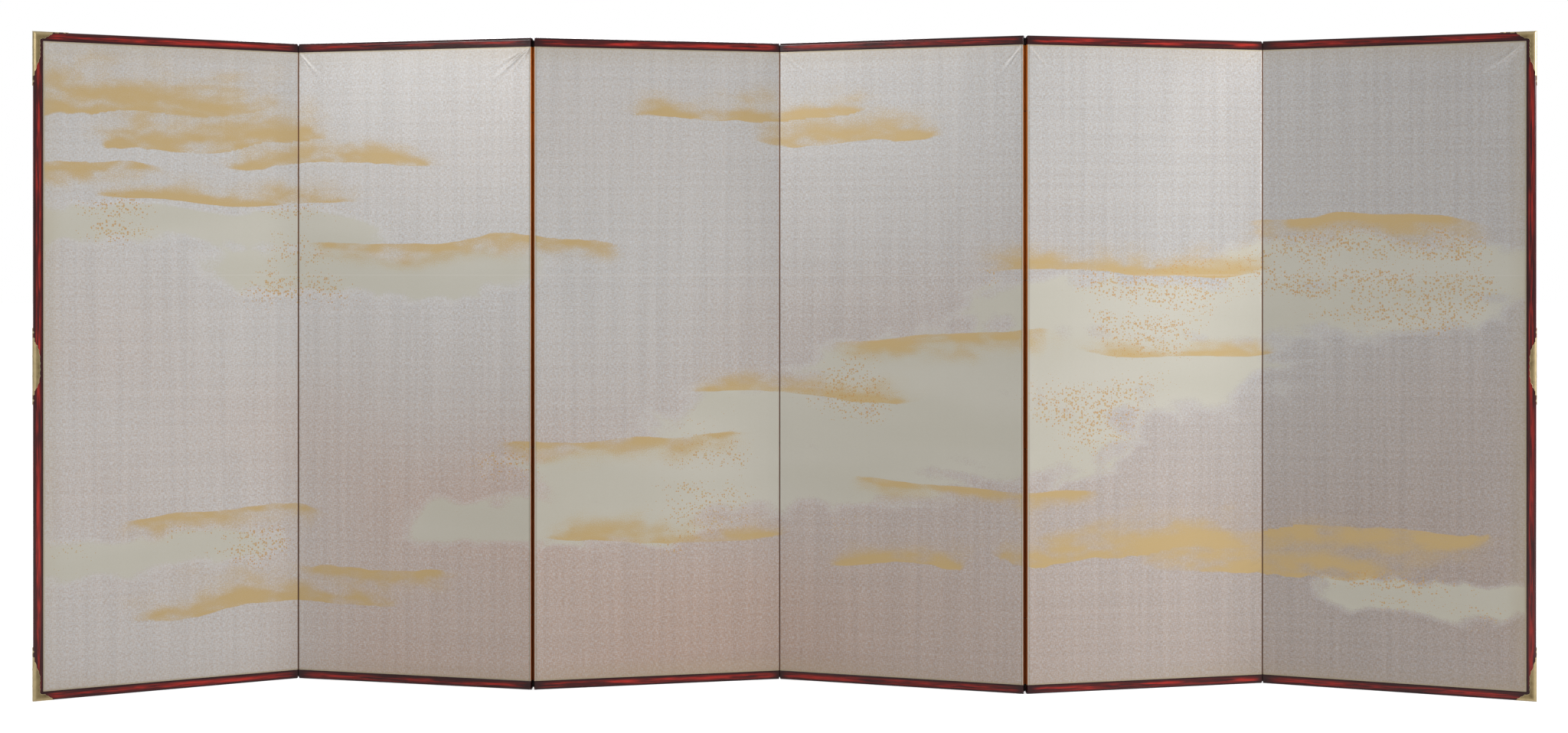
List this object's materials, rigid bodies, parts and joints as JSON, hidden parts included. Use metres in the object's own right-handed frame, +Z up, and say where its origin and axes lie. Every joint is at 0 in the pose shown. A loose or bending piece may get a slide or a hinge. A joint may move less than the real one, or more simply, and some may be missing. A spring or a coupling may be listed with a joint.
{
  "type": "byobu folding screen",
  "caption": "Free-standing folding screen of papered panels with lacquered rails, brass corner fittings and paper hinges that let it stand in a zigzag.",
  "frame": {"origin": "middle of the standing zigzag's box, on the floor under the bottom rails", "axes": "+X along the screen to the viewer's right, -Y out of its painted front, +Z up"},
  "size_m": [3.8418, 0.3308, 1.7116],
  "materials": {
    "painted_paper": "silk-faced paper with a silvery mica ground, soft gold mist bands and fine woven speckle",
    "backing_paper": "ochre-brown backing paper with a small block-printed pattern",
    "hinge_paper": "orange-brown toned kozo paper, matt",
    "lacquer": "polished translucent dark red lacquer over wood, nearly black at the edges",
    "fitting_brass": "aged gilt brass with a satin face, bright scalloped rims and darker hollows",
    "nail_brass": "aged gilt brass, domed heads",
    "core_cedar": "planed, unfinished cedar",
    "peg_bamboo": "split bamboo"
  },
  "bodies": {
    "panel_1": {"panel_1_core_frame": "core_cedar", "panel_1_core_lattice": "core_cedar", "panel_1_front_sheet": "painted_paper", "panel_1_back_sheet": "backing_paper", "panel_1_hinge_papers": "hinge_paper", "panel_1_frame_pegs": "peg_bamboo", "panel_1_top_rail": "lacquer", "panel_1_bottom_rail": "lacquer", "left_side_post": "lacquer", "left_top_corner_fitting": "fitting_brass", "left_bottom_corner_fitting": "fitting_brass", "left_middle_fitting": "fitting_brass", "left_fitting_nails": "nail_brass"},
    "panel_2": {"panel_2_core_frame": "core_cedar", "panel_2_core_lattice": "core_cedar", "panel_2_front_sheet": "painted_paper", "panel_2_back_sheet": "backing_paper", "panel_2_hinge_papers": "hinge_paper", "panel_2_frame_pegs": "peg_bamboo", "panel_2_top_rail": "lacquer", "panel_2_bottom_rail": "lacquer"},
    "panel_3": {"panel_3_core_frame": "core_cedar", "panel_3_core_lattice": "core_cedar", "panel_3_front_sheet": "painted_paper", "panel_3_back_sheet": "backing_paper", "panel_3_hinge_papers": "hinge_paper", "panel_3_frame_pegs": "peg_bamboo", "panel_3_top_rail": "lacquer", "panel_3_bottom_rail": "lacquer"},
    "panel_4": {"panel_4_core_frame": "core_cedar", "panel_4_core_lattice": "core_cedar", "panel_4_front_sheet": "painted_paper", "panel_4_back_sheet": "backing_paper", "panel_4_hinge_papers": "hinge_paper", "panel_4_frame_pegs": "peg_bamboo", "panel_4_top_rail": "lacquer", "panel_4_bottom_rail": "lacquer"},
    "panel_5": {"panel_5_core_frame": "core_cedar", "panel_5_core_lattice": "core_cedar", "panel_5_front_sheet": "painted_paper", "panel_5_back_sheet": "backing_paper", "panel_5_hinge_papers": "hinge_paper", "panel_5_frame_pegs": "peg_bamboo", "panel_5_top_rail": "lacquer", "panel_5_bottom_rail": "lacquer"},
    "panel_6": {"panel_6_core_frame": "core_cedar", "panel_6_core_lattice": "core_cedar", "panel_6_front_sheet": "painted_paper", "panel_6_back_sheet": "backing_paper", "panel_6_hinge_papers": "hinge_paper", "panel_6_frame_pegs": "peg_bamboo", "panel_6_top_rail": "lacquer", "panel_6_bottom_rail": "lacquer", "right_side_post": "lacquer", "right_top_corner_fitting": "fitting_brass", "right_bottom_corner_fitting": "fitting_brass", "right_middle_fitting": "fitting_brass", "right_fitting_nails": "nail_brass"}
  },
  "joints": [
    {"name": "fold_1", "type": "hinge", "parent": "panel_2", "child": "panel_1", "pos_m": [-1.30305, 0.14515, 0], "axis": [0, 0, 1], "range_deg": [-41, 139]},
    {"name": "fold_2", "type": "hinge", "parent": "panel_3", "child": "panel_2", "pos_m": [-0.65675, 0.00668, 0], "axis": [0, 0, -1], "range_deg": [-27, 153]},
    {"name": "fold_3", "type": "hinge", "parent": "panel_3", "child": "panel_4", "pos_m": [-0.00813, 0.13385, 0], "axis": [0, 0, -1], "range_deg": [-31, 149]},
    {"name": "fold_4", "type": "hinge", "parent": "panel_4", "child": "panel_5", "pos_m": [0.62694, -0.04936, 0], "axis": [0, 0, 1], "range_deg": [-31, 149]},
    {"name": "fold_5", "type": "hinge", "parent": "panel_5", "child": "panel_6", "pos_m": [1.27555, 0.0778, 0], "axis": [0, 0, -1], "range_deg": [-34, 146]}
  ]
}
